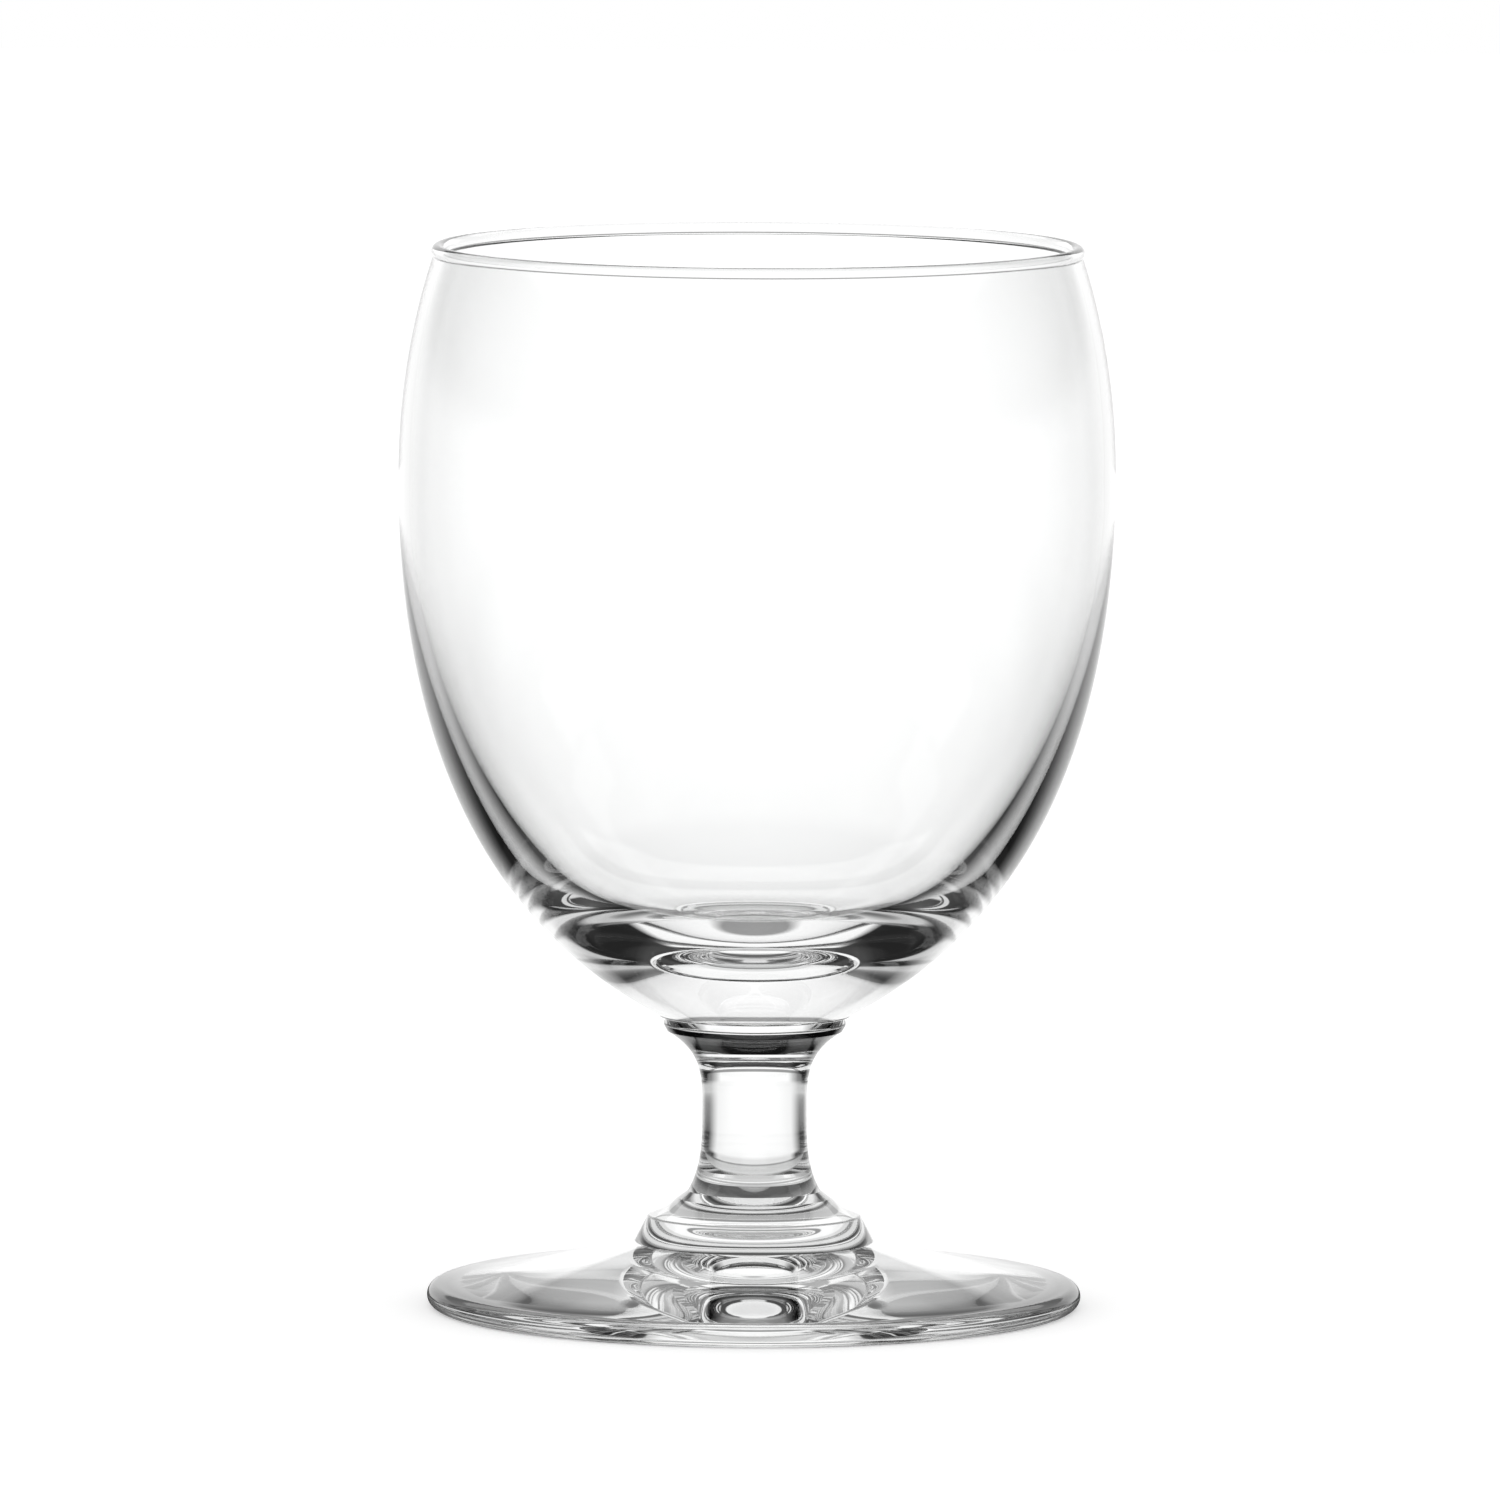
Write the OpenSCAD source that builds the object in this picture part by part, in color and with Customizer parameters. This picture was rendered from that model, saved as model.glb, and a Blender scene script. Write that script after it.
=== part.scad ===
// Stemmed water goblet in clear glass, in millimetres, standing on z = 0 with its axis on Z.
// It is stacked from the table up: foot, foot collar, stem, bowl collar and bowl.
// Each piece takes the size of its seat from the piece that it stands on.

/* [Bowl] */
// Largest outside diameter of the bowl
bowl_d = 84; // [78:1:100]
// Height from the bowl's seat to its widest place
bowl_lower_h = 63.8; // [50:0.1:80]
// Height from the widest place to the top of the rim
bowl_upper_h = 27; // [15:0.5:45]
// Diameter of the soft lip at the bowl's base
bowl_lip_d = 22.6; // [21:0.1:28]
// Height of the lip's rounding above the seat
bowl_lip_h = 0.3; // [0.1:0.1:1.5]
// Diameter of the bowl's seat on its collar
bowl_seat_d = 20.8; // [16:0.1:24]
// Wall thickness where the bowl is widest
bowl_wall = 1.4; // [1:0.1:2.5]
// Thickness of the glass under the lowest place of the inside
bowl_floor_t = 9.8; // [8:0.1:13]
// Inside diameter at the heel, where the egg shape of the inside turns into its flatter bottom
bowl_heel_d = 56; // [44:1:62]
// Height above the seat that the inside's egg shape would reach down to without the flatter bottom
inside_tip_h = 5.5; // [3:0.1:8]
// How far the widest place of the inside lies below that of the outside
inside_drop = 2; // [0:0.5:6]

/* [Rim] */
// How far the rim draws in from the widest place, on each side
rim_inset = 3.8; // [1:0.1:8]
// Thickness of the rounded bead along the rim
rim_bead_d = 1.6; // [1.5:0.1:3]
// Wall thickness just below the bead
rim_wall = 1.2; // [0.9:0.1:1.5]

/* [Bowl collar] */
// Largest diameter of the thin collar under the bowl
bowl_collar_d = 21.5; // [21:0.1:30]
// Height of the collar under the bowl
bowl_collar_h = 1.6; // [1:0.1:4]
// Rounding of the collar's edge
bowl_collar_edge_r = 0.5; // [0.2:0.1:1]

/* [Stem] */
// Height of the stem between the two collars
stem_h = 18.9; // [14:0.1:70]
// Diameter of the stem at its waist
stem_d = 12.3; // [8:0.1:15]
// Diameter of the stem's flared top
stem_top_d = 20.6; // [16:0.1:21]
// Diameter of the stem's flared foot
stem_foot_d = 15.5; // [15:0.1:17]
// Height of the waist above the stem's foot
stem_waist_h = 8.8; // [4:0.1:12]

/* [Foot collar] */
// Diameter of the collar where it stands on the foot
foot_collar_d = 28; // [26:0.1:34]
// Diameter at the upper edge of the lower step
lower_step_d = 24.8; // [22:0.1:26]
// Height of the lower step's side
lower_step_h = 3.1; // [2:0.1:6]
// Rise of the ledge between the two steps
ledge_h = 0.7; // [0.2:0.1:2]
// Diameter of the upper step at the ledge
upper_step_d = 20.8; // [19:0.1:22]
// Height of the upper step's side
upper_step_h = 1.3; // [0.8:0.1:4]
// Rise of the shoulder from the upper step to the stem
shoulder_h = 0.85; // [0.2:0.05:2]
// Diameter at the upper edge of the upper step
shoulder_d = 17.8; // [17.5:0.1:20]
// Rounding of the upper edges of both steps
step_edge_r = 0.6; // [0.2:0.1:1]

/* [Foot] */
// Diameter of the foot
foot_d = 76.8; // [60:0.5:90]
// Height of the foot at the seat of its collar
foot_h = 7.75; // [5:0.05:12]
// Thickness of the foot at its rounded edge
foot_edge_t = 2.7; // [2:0.1:4]
// Depth of the foot's hollow top below a straight cone
foot_dip = 0.4; // [0:0.05:1]
// Width of the ring that the foot stands on
foot_rest_w = 3; // [2:0.5:8]
// Height of the bell-shaped hollow under the foot
foot_hollow_h = 3.8; // [0.5:0.1:4.5]

/* [Hidden] */

// Heights of the seats above the table
foot_collar_z = foot_h;
stem_z = foot_collar_z + lower_step_h + ledge_h + upper_step_h + shoulder_h;
bowl_collar_z = stem_z + stem_h;
bowl_z = bowl_collar_z + bowl_collar_h;

// Radii that several outlines share
bowl_r = bowl_d / 2;
bowl_seat_r = bowl_seat_d / 2;
bowl_lip_r = bowl_lip_d / 2;
foot_collar_r = foot_collar_d / 2;
stem_foot_r = stem_foot_d / 2;
stem_top_r = stem_top_d / 2;
stem_r = stem_d / 2;

// The bead is a ring of round glass, and the wall runs into it from below
bead_r = rim_bead_d / 2;
bead_ring_r = bowl_r - rim_inset - bead_r;
bead_ring_h = bowl_lower_h + bowl_upper_h - bead_r;
bead_neck_h = sqrt(pow(bead_r, 2) - pow(rim_wall / 2, 2));
rim_rise = bead_ring_h - bead_neck_h - bowl_lower_h;

// Half-height of the ellipse that the bowl follows outside, above its widest place
bowl_upper_half = rim_rise / sqrt(1 - pow((bead_ring_r + rim_wall / 2) / bowl_r, 2));

// Below it the outside is one spline, which runs straight down first and then in to the lip.
// How far the belly holds its width, as a share of the height from the lip to the widest place
belly_share = 0.46;
// How far the curve leaves the lip sideways and upwards, as shares of its width and its height
base_pull_shares = [0.71, 0.182];
// How far the inside keeps its slope at the heel and its level at the axis, as shares of the heel's radius
heel_pull_shares = [0.36, 0.57];

// How finely curves are drawn
round_fn = 128;
bowl_steps = 28;
bottom_steps = 16;
upper_steps = 14;
bead_steps = 14;
corner_steps = 5;
stem_steps = 22;
foot_steps = 14;
hollow_steps = 24;

glass = [0.86, 0.93, 0.95, 0.4];

// Point at an angle on an ellipse round a centre
function on_ellipse(centre, half_w, half_h, angle) =
    centre + [half_w * cos(angle), half_h * sin(angle)];

// Points along part of an ellipse, from one angle to another
function ellipse_arc(centre, half_w, half_h, from, to, steps) =
    [for (i = [0 : steps]) on_ellipse(centre, half_w, half_h, from + (to - from) * i / steps)];

// Direction from one point to another
function direction(a, b) = (b - a) / norm(b - a);

// Points along a cubic spline with two ends and two pulling points
function spline(a, a_pull, b_pull, b, steps) = [
    for (i = [0 : steps])
        let (s = i / steps, q = 1 - s)
        q * q * q * a + 3 * q * q * s * a_pull + 3 * q * s * s * b_pull + s * s * s * b
];

// The difference between two headings, the short way round
function turn(from, to) = ((to - from + 540) % 360) - 180;

// Points that round the corner at b, between a and c; the radius is kept inside both edges
function soft_corner(a, b, c, radius) =
    let (
        u = direction(b, a),
        v = direction(b, c),
        half = acos(u * v) / 2,
        reach = min(radius / tan(half), norm(a - b) / 2, norm(c - b) / 2),
        fit = reach * tan(half),
        centre = b + direction([0, 0], u + v) * fit / sin(half),
        first = b + u * reach - centre,
        last = b + v * reach - centre,
        from = atan2(first[1], first[0]),
        swing = turn(from, atan2(last[1], last[0]))
    )
    ellipse_arc(centre, fit, fit, from, from + swing, corner_steps);

// Radius of the bowl's outside at a height above its seat, from its widest place up
function upper_r(h) = bowl_r * sqrt(1 - pow((h - bowl_lower_h) / bowl_upper_half, 2));

// Wall thickness between the widest place and the bead, thinning evenly upwards
function upper_wall(h) = bowl_wall + (rim_wall - bowl_wall) * (h - bowl_lower_h) / rim_rise;

// Radius of the stem at a height above its foot: a waist between two flares
function stem_profile_r(h) =
    h > stem_waist_h
        ? stem_r + (stem_top_r - stem_r) * pow((h - stem_waist_h) / (stem_h - stem_waist_h), 4)
        : stem_r + (stem_foot_r - stem_r) * pow((stem_waist_h - h) / stem_waist_h, 3);

// Bowl: an egg-shaped shell, thick at its base, with a fire-polished bead along the rim
module bowl() {
    bead_dip = asin(bead_neck_h / bead_r);
    lip = ellipse_arc([bowl_seat_r, bowl_lip_h], bowl_lip_r - bowl_seat_r, bowl_lip_h, -90, 0, corner_steps);
    lip_top = [bowl_lip_r, bowl_lip_h];
    widest = [bowl_r, bowl_lower_h];
    span = widest - lip_top;
    lip_pull = lip_top + [span[0] * base_pull_shares[0], span[1] * base_pull_shares[1]];
    belly_pull = widest - [0, span[1] * belly_share];
    outside_low = spline(lip_top, lip_pull, belly_pull, widest, bowl_steps);
    outside_high = [
        for (i = [1 : upper_steps - 1])
            let (h = bowl_lower_h + rim_rise * i / upper_steps)
            [upper_r(h), h]
    ];
    bead = ellipse_arc([bead_ring_r, bead_ring_h], bead_r, bead_r, -bead_dip, 180 + bead_dip, bead_steps);
    inside_high = [
        for (i = [upper_steps - 1 : -1 : 1])
            let (h = bowl_lower_h + rim_rise * i / upper_steps)
            [upper_r(h) - upper_wall(h), h]
    ];
    inside_r = bowl_r - bowl_wall;
    inside_widest_h = bowl_lower_h - inside_drop;
    inside_half_h = inside_widest_h - inside_tip_h;
    heel_r = bowl_heel_d / 2;
    heel_angle = -acos(heel_r / inside_r);
    inside_wall = ellipse_arc([0, inside_widest_h], inside_r, inside_half_h, 0, heel_angle, bowl_steps);
    heel = inside_wall[bowl_steps];
    heel_slope = direction([0, 0], [inside_r * sin(heel_angle), -inside_half_h * cos(heel_angle)]);
    heel_pull = heel + heel_slope * heel_r * heel_pull_shares[0];
    level_pull = [heel_r * heel_pull_shares[1], bowl_floor_t];
    bottom = spline(heel, heel_pull, level_pull, [0, bowl_floor_t], bottom_steps);
    outline = concat(
        [[0, 0]], lip, [for (i = [1 : bowl_steps]) outside_low[i]], outside_high,
        bead, inside_high, [[inside_r, bowl_lower_h]], inside_wall, [for (i = [1 : bottom_steps]) bottom[i]]
    );
    color(glass)
        translate([0, 0, bowl_z])
            rotate_extrude($fn = round_fn) polygon(outline);
}

// Bowl collar: a thin disc with a soft edge, pinched in where it meets the bowl
module bowl_collar() {
    foot_point = [stem_top_r, 0];
    edge_point = [bowl_collar_d / 2, bowl_collar_h / 2];
    seat_point = [bowl_seat_r, bowl_collar_h];
    outline = concat(
        [[0, 0], foot_point],
        soft_corner(foot_point, edge_point, seat_point, bowl_collar_edge_r),
        [seat_point, [0, bowl_collar_h]]
    );
    color(glass)
        translate([0, 0, bowl_collar_z])
            rotate_extrude($fn = round_fn) polygon(outline);
}

// Stem: a short solid waist that flares to both collars
module stem() {
    outline = concat(
        [[0, 0]],
        [for (i = [0 : stem_steps]) let (h = stem_h * i / stem_steps) [stem_profile_r(h), h]],
        [[0, stem_h]]
    );
    color(glass)
        translate([0, 0, stem_z])
            rotate_extrude($fn = round_fn) polygon(outline);
}

// Foot collar: two rounded steps between the foot and the stem
module foot_collar() {
    ledge_in_h = lower_step_h + ledge_h;
    upper_edge_h = ledge_in_h + upper_step_h;
    seat_point = [foot_collar_r, 0];
    lower_edge = [lower_step_d / 2, lower_step_h];
    ledge_point = [upper_step_d / 2, ledge_in_h];
    upper_edge = [shoulder_d / 2, upper_edge_h];
    stem_point = [stem_foot_r, upper_edge_h + shoulder_h];
    outline = concat(
        [[0, 0], seat_point],
        soft_corner(seat_point, lower_edge, ledge_point, step_edge_r),
        [ledge_point],
        soft_corner(ledge_point, upper_edge, stem_point, step_edge_r),
        [stem_point, [0, stem_point[1]]]
    );
    color(glass)
        translate([0, 0, foot_collar_z])
            rotate_extrude($fn = round_fn) polygon(outline);
}

// Foot: a round-edged disc with a shallow cone on top, standing on a flat ring round a bell-shaped hollow
module foot() {
    edge_r = foot_edge_t / 2;
    edge_ring_r = foot_d / 2 - edge_r;
    rest_inner_r = edge_ring_r - foot_rest_w;
    // The hollow underneath is half a wave: level at the axis and at its edge
    hollow = [
        for (i = [0 : hollow_steps])
            let (s = i / hollow_steps)
            [rest_inner_r * s, foot_hollow_h * (1 + cos(180 * s)) / 2]
    ];
    edge = ellipse_arc([edge_ring_r, edge_r], edge_r, edge_r, -90, 90, bead_steps);
    top = [
        for (i = [1 : foot_steps])
            let (s = i / foot_steps)
            [
                edge_ring_r + (foot_collar_r - edge_ring_r) * s,
                foot_edge_t + (foot_h - foot_edge_t) * s - 4 * foot_dip * s * (1 - s)
            ]
    ];
    outline = concat(hollow, edge, top, [[0, foot_h]]);
    color(glass)
        rotate_extrude($fn = round_fn) polygon(outline);
}

foot();
foot_collar();
stem();
bowl_collar();
bowl();
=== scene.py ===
import math

import bmesh
import bpy
from mathutils import Matrix, Vector


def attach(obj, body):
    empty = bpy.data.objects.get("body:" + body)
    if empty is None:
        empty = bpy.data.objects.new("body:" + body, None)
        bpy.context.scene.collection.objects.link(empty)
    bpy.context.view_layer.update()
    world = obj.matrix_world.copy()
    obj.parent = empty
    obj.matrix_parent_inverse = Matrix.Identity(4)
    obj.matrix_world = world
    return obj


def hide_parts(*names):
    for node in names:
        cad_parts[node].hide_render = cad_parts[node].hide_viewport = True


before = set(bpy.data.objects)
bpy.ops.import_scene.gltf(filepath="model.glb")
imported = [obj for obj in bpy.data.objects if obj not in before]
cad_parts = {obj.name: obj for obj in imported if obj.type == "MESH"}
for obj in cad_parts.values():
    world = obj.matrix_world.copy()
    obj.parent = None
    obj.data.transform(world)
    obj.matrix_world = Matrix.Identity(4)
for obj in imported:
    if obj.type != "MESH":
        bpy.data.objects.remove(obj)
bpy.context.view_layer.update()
print("goblet: frame loaded")

mm = 0.001  # the sizes below are in millimetres

turning = {
    "steps": 256,  # faces round the axis
    "creaseAngle": 24,  # degrees: a sharper edge than this shades as a crease
    "mergeWithin": 0.0005,
    "levelWithin": 0.001,  # a face this near to a joint's height lies in the joint
}


# Outlines are lists of (radius, height) points, from the underside of a piece round to its top

def ellipseArc(centre, halfWidth, halfHeight, start, stop, steps):
    points = []
    for i in range(steps + 1):
        angle = math.radians(start + (stop - start) * i / steps)
        x = centre[0] + halfWidth * math.cos(angle)
        points.append(Vector((x, centre[1] + halfHeight * math.sin(angle))))
    return points


def spline(a, aPull, bPull, b, steps):
    points = []
    for i in range(steps + 1):
        s = i / steps
        q = 1 - s
        points.append(q ** 3 * a + 3 * q * q * s * aPull + 3 * q * s * s * bPull + s ** 3 * b)
    return points


def softCorner(a, b, c, radius, steps=8):
    u = (a - b).normalized()
    v = (c - b).normalized()
    half = u.angle(v) / 2
    reach = min(radius / math.tan(half), (a - b).length / 2, (c - b).length / 2)
    fit = reach * math.tan(half)
    centre = b + (u + v).normalized() * fit / math.sin(half)
    first = b + u * reach - centre
    last = b + v * reach - centre
    start = math.degrees(math.atan2(first.y, first.x))
    end = math.degrees(math.atan2(last.y, last.x))
    swing = (end - start + 540) % 360 - 180  # the short way round
    return ellipseArc(centre, fit, fit, start, start + swing, steps)


# Spin an outline round the axis; level faces at a joint's height take the joint's material
def turnedPiece(name, outline, baseHeight, material, jointHeights):
    bm = bmesh.new()
    corners = [bm.verts.new((p.x * mm, 0, (baseHeight + p.y) * mm)) for p in outline]
    edges = [bm.edges.new(pair) for pair in zip(corners, corners[1:])]
    bmesh.ops.spin(
        bm, geom=corners + edges, cent=(0, 0, 0), axis=(0, 0, 1),
        angle=math.tau, steps=turning["steps"], use_merge=True,
    )
    bmesh.ops.remove_doubles(bm, verts=bm.verts, dist=turning["mergeWithin"] * mm)
    bmesh.ops.recalc_face_normals(bm, faces=bm.faces)
    within = turning["levelWithin"]
    for face in bm.faces:
        heights = [v.co.z / mm for v in face.verts]
        joined = any(max(abs(h - joint) for h in heights) < within for joint in jointHeights)
        face.material_index = 1 if joined else 0
        face.smooth = not joined
    for edge in bm.edges:
        if edge.calc_face_angle(0) > math.radians(turning["creaseAngle"]):
            edge.smooth = False
    mesh = bpy.data.meshes.new(name)
    bm.to_mesh(mesh)
    bm.free()
    mesh.materials.append(material)
    mesh.materials.append(fusedJoint)
    piece = bpy.data.objects.new(name, mesh)
    bpy.context.scene.collection.objects.link(piece)
    return piece


# Materials

glass = {
    "ior": 1.51,
    "letThrough": 0.82,  # share of the light that goes on to the floor
    "tints": {
        "bowl_glass": (0.997, 1, 0.999),
        "stem_glass": (0.995, 1, 0.998),
        "foot_glass": (0.995, 1, 0.998),
    },
}


def clearGlass(name, tint):
    material = bpy.data.materials.new(name)
    material.use_nodes = True
    nodes = material.node_tree.nodes
    link = material.node_tree.links.new
    shader = nodes["Principled BSDF"]
    shader.inputs["Base Color"].default_value = (*tint, 1)
    shader.inputs["Roughness"].default_value = 0
    shader.inputs["IOR"].default_value = glass["ior"]
    shader.inputs["Transmission Weight"].default_value = 1
    path = nodes.new("ShaderNodeLightPath")
    through = nodes.new("ShaderNodeBsdfTransparent")
    through.inputs["Color"].default_value = (glass["letThrough"],) * 3 + (1,)
    mix = nodes.new("ShaderNodeMixShader")
    link(path.outputs["Is Shadow Ray"], mix.inputs["Fac"])
    link(shader.outputs[0], mix.inputs[1])
    link(through.outputs[0], mix.inputs[2])
    link(mix.outputs[0], nodes["Material Output"].inputs["Surface"])
    return material


def clearJoint(name):
    material = bpy.data.materials.new(name)
    material.use_nodes = True
    shader = material.node_tree.nodes["Principled BSDF"]
    shader.inputs["Alpha"].default_value = 0
    shader.inputs["Roughness"].default_value = 1
    return material


bowlGlass, stemGlass, footGlass = (clearGlass(*item) for item in glass["tints"].items())
fusedJoint = clearJoint("fused_joint")  # the fused faces between two pieces can't be seen
print("goblet: materials made")

# Heights from the table up
footHeight = 7.75
footCollarHeight = 5.95
stemHeight = 18.9
bowlCollarHeight = 1.6
stemBase = footHeight + footCollarHeight
bowlCollarBase = stemBase + stemHeight
bowlBase = bowlCollarBase + bowlCollarHeight

foot = {
    "width": 76.8, "edge": 2.7, "collarWidth": 28, "dip": 0.4,  # dip: how hollow the top is
    "restWidth": 3, "hollowHeight": 3.8,  # the ring it stands on, and the bell-shaped hollow
    "hollowSteps": 60, "edgeSteps": 32, "topSteps": 40,
}


def makeFoot():
    edgeRadius = foot["edge"] / 2
    ring = foot["width"] / 2 - edgeRadius
    restInner = ring - foot["restWidth"]
    collar = foot["collarWidth"] / 2
    outline = []
    for i in range(foot["hollowSteps"] + 1):
        s = i / foot["hollowSteps"]
        hollow = foot["hollowHeight"] * (1 + math.cos(math.pi * s)) / 2
        outline.append(Vector((restInner * s, hollow)))
    edgeCentre = (ring, edgeRadius)
    outline += ellipseArc(edgeCentre, edgeRadius, edgeRadius, -90, 90, foot["edgeSteps"])
    for i in range(1, foot["topSteps"] + 1):
        s = i / foot["topSteps"]
        sag = 4 * foot["dip"] * s * (1 - s)  # a shallow bow, deepest half way
        rise = foot["edge"] + (footHeight - foot["edge"]) * s - sag
        outline.append(Vector((ring + (collar - ring) * s, rise)))
    outline.append(Vector((0, footHeight)))
    return turnedPiece("foot", outline, 0, footGlass, [footHeight])


footCollar = {
    "width": 28, "lowerWidth": 24.8, "lowerHeight": 3.1, "ledgeRise": 0.7,
    "upperWidth": 20.8, "upperHeight": 1.3, "shoulderWidth": 17.8, "edge": 0.6,
}


def makeFootCollar():
    ledge = footCollar["lowerHeight"] + footCollar["ledgeRise"]
    shoulder = ledge + footCollar["upperHeight"]
    seat = Vector((footCollar["width"] / 2, 0))
    lower = Vector((footCollar["lowerWidth"] / 2, footCollar["lowerHeight"]))
    inner = Vector((footCollar["upperWidth"] / 2, ledge))
    upper = Vector((footCollar["shoulderWidth"] / 2, shoulder))
    top = Vector((stem["footWidth"] / 2, footCollarHeight))
    outline = [Vector((0, 0)), seat]
    outline += softCorner(seat, lower, inner, footCollar["edge"])
    outline += [inner]
    outline += softCorner(inner, upper, top, footCollar["edge"])
    outline += [top, Vector((0, footCollarHeight))]
    return turnedPiece("foot_collar", outline, footHeight, stemGlass, [footHeight, stemBase])


stem = {
    "waistWidth": 12.3, "topWidth": 20.6, "footWidth": 15.5, "waistHeight": 8.8,
    "topPower": 4, "footPower": 3,  # how late each end flares
    "steps": 60,
}


def makeStem():
    waist = stem["waistWidth"] / 2
    outline = [Vector((0, 0))]
    for i in range(stem["steps"] + 1):
        h = stemHeight * i / stem["steps"]
        above = h - stem["waistHeight"]
        if above > 0:
            share = above / (stemHeight - stem["waistHeight"])
            flare = (stem["topWidth"] / 2 - waist) * share ** stem["topPower"]
        else:
            share = -above / stem["waistHeight"]
            flare = (stem["footWidth"] / 2 - waist) * share ** stem["footPower"]
        outline.append(Vector((waist + flare, h)))
    outline.append(Vector((0, stemHeight)))
    return turnedPiece("stem", outline, stemBase, stemGlass, [stemBase, bowlCollarBase])


bowlCollar = {"width": 21.5, "edge": 0.5}


def makeBowlCollar():
    low = Vector((stem["topWidth"] / 2, 0))
    edge = Vector((bowlCollar["width"] / 2, bowlCollarHeight / 2))
    seat = Vector((bowl["seatWidth"] / 2, bowlCollarHeight))
    outline = [Vector((0, 0)), low] + softCorner(low, edge, seat, bowlCollar["edge"])
    outline += [seat, Vector((0, bowlCollarHeight))]
    joints = [bowlCollarBase, bowlBase]
    return turnedPiece("bowl_collar", outline, bowlCollarBase, stemGlass, joints)


bowl = {
    "width": 84, "lowerHeight": 63.8, "upperHeight": 27,
    "lipWidth": 22.6, "lipHeight": 0.3, "seatWidth": 20.8,
    "wall": 1.4, "floor": 9.8, "insideDrop": 2, "heelWidth": 56, "insideTip": 5.5,
    "rimInset": 3.8, "bead": 1.6, "rimWall": 1.2,
    "bellyPull": 0.46, "basePullOut": 0.71, "basePullUp": 0.182,  # shares of the lower bowl
    "heelPull": 0.36, "levelPull": 0.57,  # shares of the heel's radius
    "lipSteps": 6, "lowerSteps": 90, "upperSteps": 40, "beadSteps": 24,
    "insideSteps": 80, "bottomSteps": 50,
}


def makeBowl():
    radius = bowl["width"] / 2
    lower = bowl["lowerHeight"]
    seat = bowl["seatWidth"] / 2
    lip = bowl["lipWidth"] / 2
    lipHeight = bowl["lipHeight"]
    beadRadius = bowl["bead"] / 2
    beadRing = radius - bowl["rimInset"] - beadRadius
    beadHeight = lower + bowl["upperHeight"] - beadRadius
    neck = math.sqrt(beadRadius ** 2 - (bowl["rimWall"] / 2) ** 2)
    rise = beadHeight - neck - lower
    halfHeight = rise / math.sqrt(1 - ((beadRing + bowl["rimWall"] / 2) / radius) ** 2)
    dip = math.degrees(math.asin(neck / beadRadius))

    # Outside: the lip at the seat, the lower spline, the upper curve and the bead
    outline = [Vector((0, 0))]
    outline += ellipseArc((seat, lipHeight), lip - seat, lipHeight, -90, 0, bowl["lipSteps"])
    lipTop = Vector((lip, lipHeight))
    widest = Vector((radius, lower))
    span = widest - lipTop
    lipPull = lipTop + Vector((span.x * bowl["basePullOut"], span.y * bowl["basePullUp"]))
    bellyPull = widest - Vector((0, span.y * bowl["bellyPull"]))
    outline += spline(lipTop, lipPull, bellyPull, widest, bowl["lowerSteps"])[1:]
    heights = [rise * i / bowl["upperSteps"] for i in range(1, bowl["upperSteps"])]
    upperRadii = [radius * math.sqrt(1 - (h / halfHeight) ** 2) for h in heights]
    upper = list(zip(upperRadii, heights))
    outline += [Vector((r, lower + h)) for r, h in upper]
    bead = (beadRing, beadHeight)
    outline += ellipseArc(bead, beadRadius, beadRadius, -dip, 180 + dip, bowl["beadSteps"])

    # Inside: down the thin wall to the heel, and over the flatter bottom to the axis
    for r, h in reversed(upper):
        wall = bowl["wall"] + (bowl["rimWall"] - bowl["wall"]) * h / rise
        outline.append(Vector((r - wall, lower + h)))
    insideRadius = radius - bowl["wall"]
    centre = (0, lower - bowl["insideDrop"])
    insideHalf = centre[1] - bowl["insideTip"]
    heelRadius = bowl["heelWidth"] / 2
    heelAngle = -math.acos(heelRadius / insideRadius)
    heelTurn = math.degrees(heelAngle)
    outline.append(Vector((insideRadius, lower)))
    outline += ellipseArc(centre, insideRadius, insideHalf, 0, heelTurn, bowl["insideSteps"])
    heel = outline[-1]
    slope = Vector((insideRadius * math.sin(heelAngle), -insideHalf * math.cos(heelAngle)))
    heelPull = heel + slope.normalized() * heelRadius * bowl["heelPull"]
    levelPull = Vector((heelRadius * bowl["levelPull"], bowl["floor"]))
    middle = Vector((0, bowl["floor"]))
    outline += spline(heel, heelPull, levelPull, middle, bowl["bottomSteps"])[1:]
    return turnedPiece("bowl", outline, bowlBase, bowlGlass, [bowlBase])


pieces = {
    "foot": (makeFoot, "foot_glass"),
    "foot_collar": (makeFootCollar, "stem_glass"),
    "stem": (makeStem, "stem_glass"),
    "bowl_collar": (makeBowlCollar, "stem_glass"),
    "bowl": (makeBowl, "bowl_glass"),
}
for node, (make, slot) in pieces.items():
    piece = make()
    piece.name = node + "_clear"
    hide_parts(node)
    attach(piece, "root")
    print("goblet:", piece.name, "made")

# Camera
view = {
    "distance": 2089.8, "height": 276.4, "aside": -0.7, "pitch": 5.759, "roll": 0.24,
    "focal": 17923.9, "photo": 1500,  # both in the photograph's pixels
    "sensor": 36, "seesTo": 50,  # seesTo in metres
}
cameraData = bpy.data.cameras.new("camera")
cameraData.sensor_width = view["sensor"]
cameraData.lens = view["sensor"] * view["focal"] / view["photo"]
cameraData.clip_end = view["seesTo"]
camera = bpy.data.objects.new("camera", cameraData)
stand = Matrix.Translation((view["aside"] * mm, -view["distance"] * mm, view["height"] * mm))
tilt = Matrix.Rotation(math.radians(90 - view["pitch"]), 4, "X")
roll = Matrix.Rotation(math.radians(view["roll"]), 4, "Z")
camera.matrix_world = stand @ tilt @ roll
bpy.context.scene.collection.objects.link(camera)
bpy.context.scene.camera = camera
print("goblet: camera placed")


# Studio: a dome and a floor that stand still, with white windows and dark flags painted in them
# as reflections and shade that only the glass shows

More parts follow.
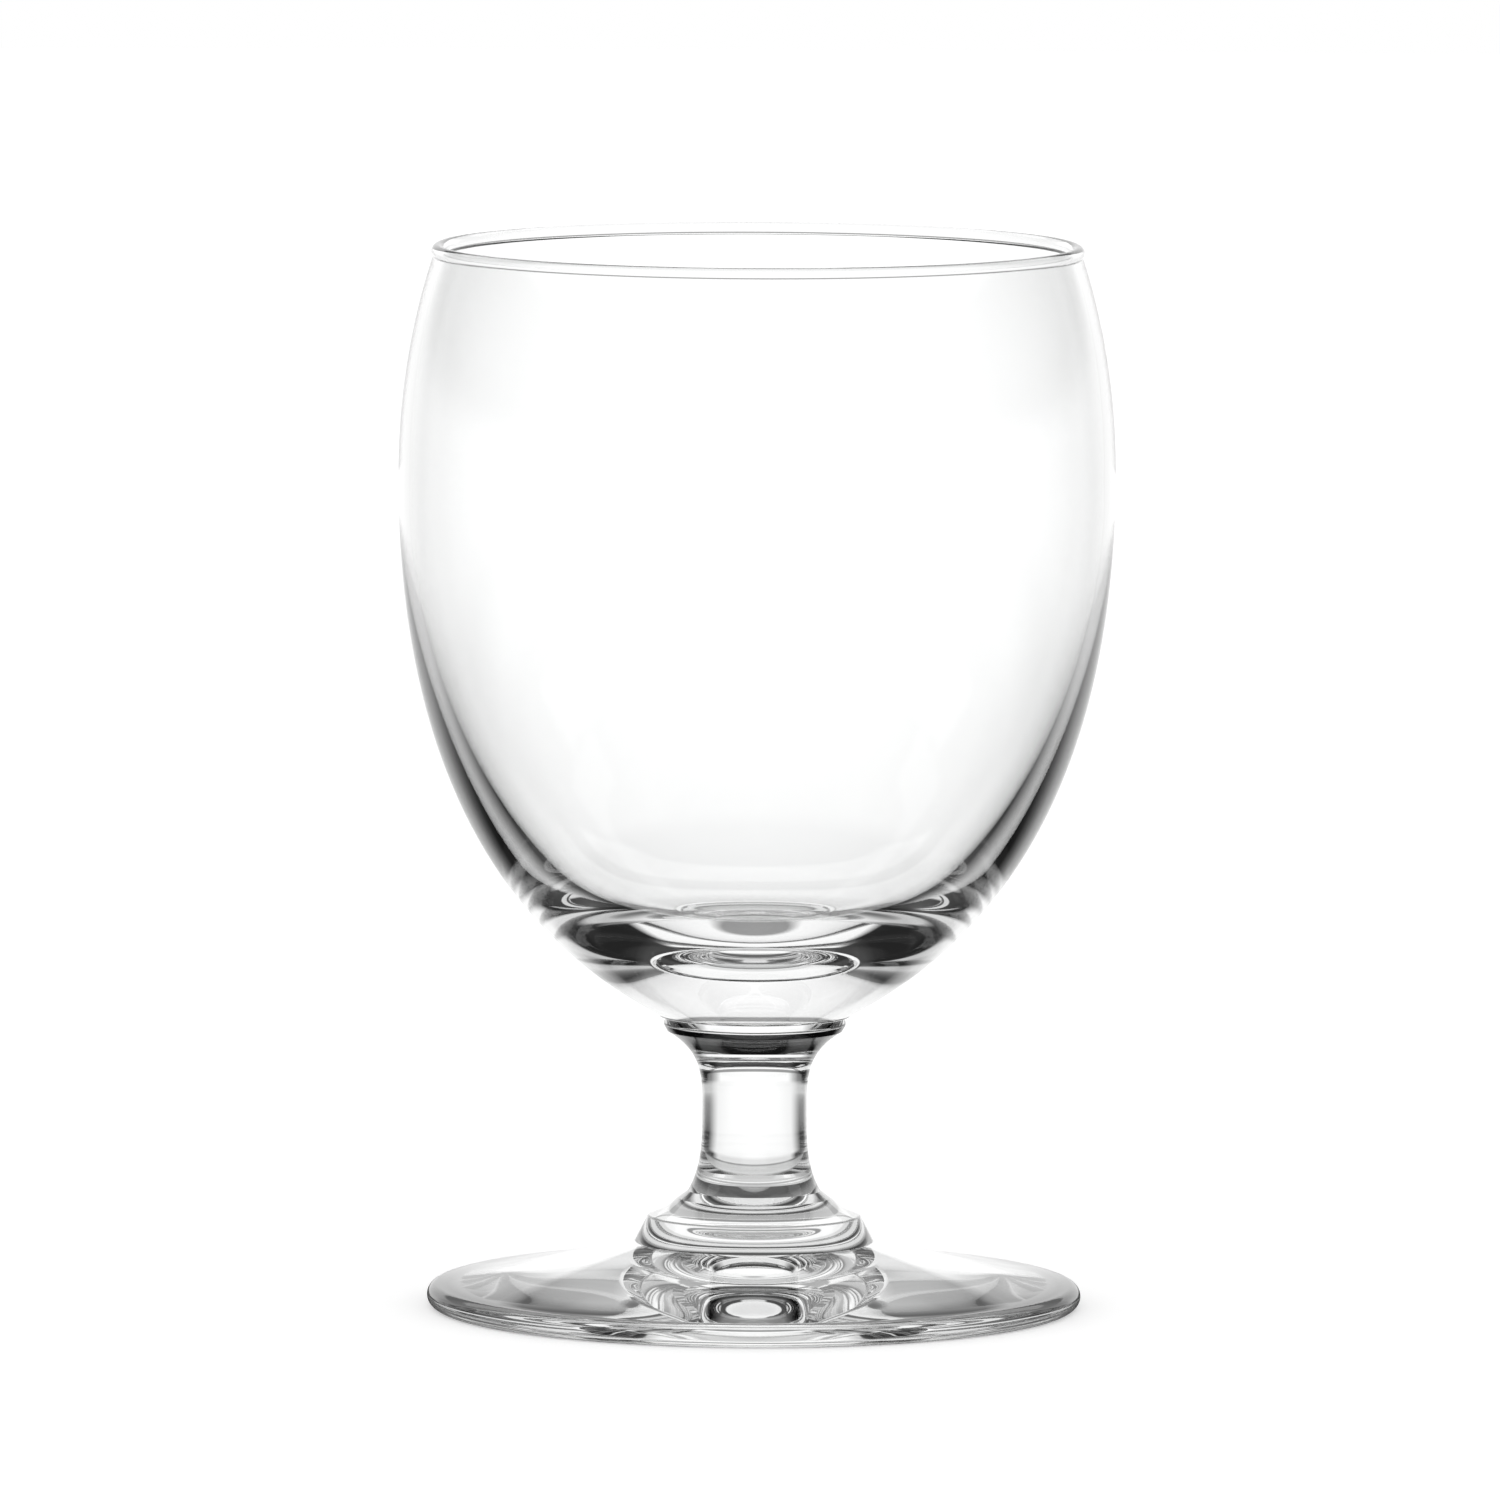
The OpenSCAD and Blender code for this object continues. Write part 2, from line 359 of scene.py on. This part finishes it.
def calculate(tree, operation, a, b=None):
    node = tree.nodes.new("ShaderNodeMath")
    node.operation = operation
    for socket, value in zip(node.inputs, (a, b)):
        if isinstance(value, (int, float)):
            socket.default_value = value
        elif value is not None:
            tree.links.new(value, socket)
    return node.outputs[0]


# Grey levels along a value, from a list of (value, level)
def ramp(tree, value, stops):
    first = stops[0][0]
    reach = stops[-1][0] - first
    node = tree.nodes.new("ShaderNodeValToRGB")
    elements = node.color_ramp.elements
    while len(elements) < len(stops):
        elements.new(0.5)
    for element, (at, level) in zip(elements, stops):
        element.position = (at - first) / reach
        element.color = (level, level, level, 1)
    share = calculate(tree, "DIVIDE", calculate(tree, "SUBTRACT", value, first), reach)
    tree.links.new(share, node.inputs[0])
    return node.outputs[0]


# A zone is (start, softness, levels by the turn from the back); it takes over from the last one
def zonedLight(tree, zones, turn, reach):
    light = None
    for start, softness, stops in zones:
        zone = ramp(tree, turn, stops)
        if light is None:
            light = zone
            continue
        change = ramp(tree, reach, [(start - softness, 0), (start + softness, 1)])
        mix = tree.nodes.new("ShaderNodeMix")
        mix.data_type = "FLOAT"
        for socket, value in zip(mix.inputs[0:1] + mix.inputs[2:4], (change, light, zone)):
            tree.links.new(value, socket)
        light = mix.outputs[0]
    return light


def inDegrees(tree, angle):
    return calculate(tree, "MULTIPLY", angle, math.degrees(1))


def placeInStudio(tree):
    coordinate = tree.nodes.new("ShaderNodeTexCoord")
    split = tree.nodes.new("ShaderNodeSeparateXYZ")
    tree.links.new(coordinate.outputs["Object"], split.inputs[0])
    return split.outputs


# 0 behind the goblet and 180 in front of it, the same on the left as on the right
def turnFromBack(tree, x, y):
    return inDegrees(tree, calculate(tree, "ABSOLUTE", calculate(tree, "ARCTAN2", x, y)))


# Painted reflection levels shared by the dome under the horizon and the far floor, so that no
# seam shows in the glass
paintedHorizonLevels = [
    (0, 1.15), (8, 1.1), (20, 1), (32, 0.9),  # the painted white window
    (44, 0.6), (60, 0.6), (80, 0.75),  # painted greyer sides
    (98, 1), (180, 1),  # the painted white front
]
# The painted dark level of the flags
unlit = 0.015

studio = {
    "radius": 2.5, "segments": 96, "rings": 48,
    # Painted reflection zones by the height above the table in degrees
    "zones": [
        (-90, 1, paintedHorizonLevels),  # below the horizon and just above it
        (4, 2, [  # painted dark side walls
            (0, 1.1), (28, 1.05), (34, 0.6), (42, 0.25), (48, 0.2), (54, unlit),
            (150, unlit), (158, 0.8), (180, 0.8),
        ]),
        (18, 1, [(0, 0.35), (32, 0.3), (48, unlit), (180, unlit)]),  # the painted dark gap under the painted softbox
        (23, 1, [  # the painted side boxes begin
            (0, 0.35), (32, 0.3), (48, unlit), (76, unlit), (80, 0.8), (104, 0.8),
            (108, unlit), (116, 0.3), (180, 0.3),
        ]),
        (27, 1, [  # the painted softbox begins
            (0, 1.1), (38, 1.1), (43, unlit), (76, unlit), (80, 0.8), (104, 0.8),
            (108, unlit), (116, 0.3), (180, 0.3),
        ]),
        (35, 1, [  # above the painted side boxes
            (0, 1.1), (38, 1.1), (43, unlit), (108, unlit), (116, 0.3), (180, 0.3),
        ]),
        (46, 2, [(0, 0.03), (180, 0.03)]),  # the painted dark ceiling
    ],
}


def paintedReflectionDome():
    material = bpy.data.materials.new("painted_reflection_dome")
    material.use_nodes = True
    tree = material.node_tree
    tree.nodes.clear()
    x, y, z = placeInStudio(tree)
    sine = calculate(tree, "DIVIDE", z, studio["radius"])
    height = inDegrees(tree, calculate(tree, "ARCSINE", sine))
    light = zonedLight(tree, studio["zones"], turnFromBack(tree, x, y), height)
    glow = tree.nodes.new("ShaderNodeEmission")
    tree.links.new(light, glow.inputs["Color"])
    output = tree.nodes.new("ShaderNodeOutputMaterial")
    tree.links.new(glow.outputs[0], output.inputs["Surface"])
    return material


def studioPiece(name, bm, material):
    mesh = bpy.data.meshes.new(name)
    bm.to_mesh(mesh)
    bm.free()
    mesh.materials.append(material)
    piece = bpy.data.objects.new(name, mesh)
    bpy.context.scene.collection.objects.link(piece)
    print("goblet:", name, "made")
    return piece


bm = bmesh.new()
bmesh.ops.create_uvsphere(
    bm, u_segments=studio["segments"], v_segments=studio["rings"], radius=studio["radius"],
)
reflectionDome = studioPiece("painted_reflection_dome", bm, paintedReflectionDome())
# Only the glass sees the dome, so its zones are painted reflections, not lamps
reflectionDome.visible_camera = False
reflectionDome.visible_diffuse = False
reflectionDome.visible_shadow = False

floor = {
    "radius": 2.4, "segments": 96,
    "colour": 0.8, "glow": 0.35,
    # Painted shadow and painted reflection zones by the distance from the axis in millimetres,
    # as the glass shows them
    "zones": [
        (0, 1, [(0, 0.1), (180, 0.1)]),  # painted shadow under the hub
        (12, 2, [(0, 0.65), (180, 0.65)]),
        (24, 3, [(0, 0.5), (180, 0.5)]),
        (33.5, 2, [(0, 0.06), (180, 0.06)]),  # painted contact shadow under the ring that the foot stands on
        (37, 1, [(0, 0.8), (28, 0.8), (36, 0.03), (94, 0.03), (180, 0.1)]),  # painted dark sides round the foot
        (54, 4, [  # painted white window, painted dark flags at the sides, painted white front
            (0, 1.05), (20, 1), (32, 0.9), (42, 0.3), (48, 0.03), (60, 0.03), (72, 0.25),
            (94, 0.9), (180, 0.9),
        ]),
        (260, 140, paintedHorizonLevels),  # the far floor, with the painted horizon levels
    ],
}


# The camera sees a plain pale floor with the goblet's shadow; the glass shows the painted
# shadow and reflection zones instead
def paleFloorWithPaintedReflection():
    material = bpy.data.materials.new("pale_floor_with_painted_reflection")
    material.use_nodes = True
    tree = material.node_tree
    link = tree.links.new
    x, y = placeInStudio(tree)[:2]
    xSquare, ySquare = (calculate(tree, "MULTIPLY", side, side) for side in (x, y))
    squares = calculate(tree, "ADD", xSquare, ySquare)
    distance = calculate(tree, "DIVIDE", calculate(tree, "SQRT", squares), mm)
    light = zonedLight(tree, floor["zones"], turnFromBack(tree, x, y), distance)
    # Painted shadow and reflection that only glossy and transmission rays see
    paintedReflectionGlow = tree.nodes.new("ShaderNodeEmission")
    link(light, paintedReflectionGlow.inputs["Color"])
    shader = tree.nodes["Principled BSDF"]
    shader.inputs["Base Color"].default_value = (floor["colour"],) * 3 + (1,)
    shader.inputs["Roughness"].default_value = 1
    shader.inputs["Specular IOR Level"].default_value = 0
    glow = tree.nodes.new("ShaderNodeEmission")
    glow.inputs["Strength"].default_value = floor["glow"]
    plain = tree.nodes.new("ShaderNodeAddShader")
    link(shader.outputs[0], plain.inputs[0])
    link(glow.outputs[0], plain.inputs[1])
    path = tree.nodes.new("ShaderNodeLightPath")
    rays = (path.outputs["Is Glossy Ray"], path.outputs["Is Transmission Ray"])
    mix = tree.nodes.new("ShaderNodeMixShader")
    link(calculate(tree, "MAXIMUM", *rays), mix.inputs["Fac"])
    link(plain.outputs[0], mix.inputs[1])
    link(paintedReflectionGlow.outputs[0], mix.inputs[2])
    link(mix.outputs[0], tree.nodes["Material Output"].inputs["Surface"])
    return material


bm = bmesh.new()
bmesh.ops.create_circle(bm, cap_ends=True, segments=floor["segments"], radius=floor["radius"])
ground = studioPiece("floor", bm, paleFloorWithPaintedReflection())

# A white world behind everything, and enough bounces to pass every wall of glass
world = bpy.data.worlds.new("studio")
bpy.context.scene.world = world
world.use_nodes = True
background = world.node_tree.nodes["Background"]
background.inputs["Color"].default_value = (1, 1, 1, 1)
background.inputs["Strength"].default_value = 1

bounces = {"glass": 32, "glossy": 16}
cycles = bpy.context.scene.cycles
cycles.max_bounces = bounces["glass"]
cycles.transmission_bounces = bounces["glass"]
cycles.transparent_max_bounces = bounces["glass"]
cycles.glossy_bounces = bounces["glossy"]
bpy.context.scene.view_settings.view_transform = "Standard"
print("goblet: light set")
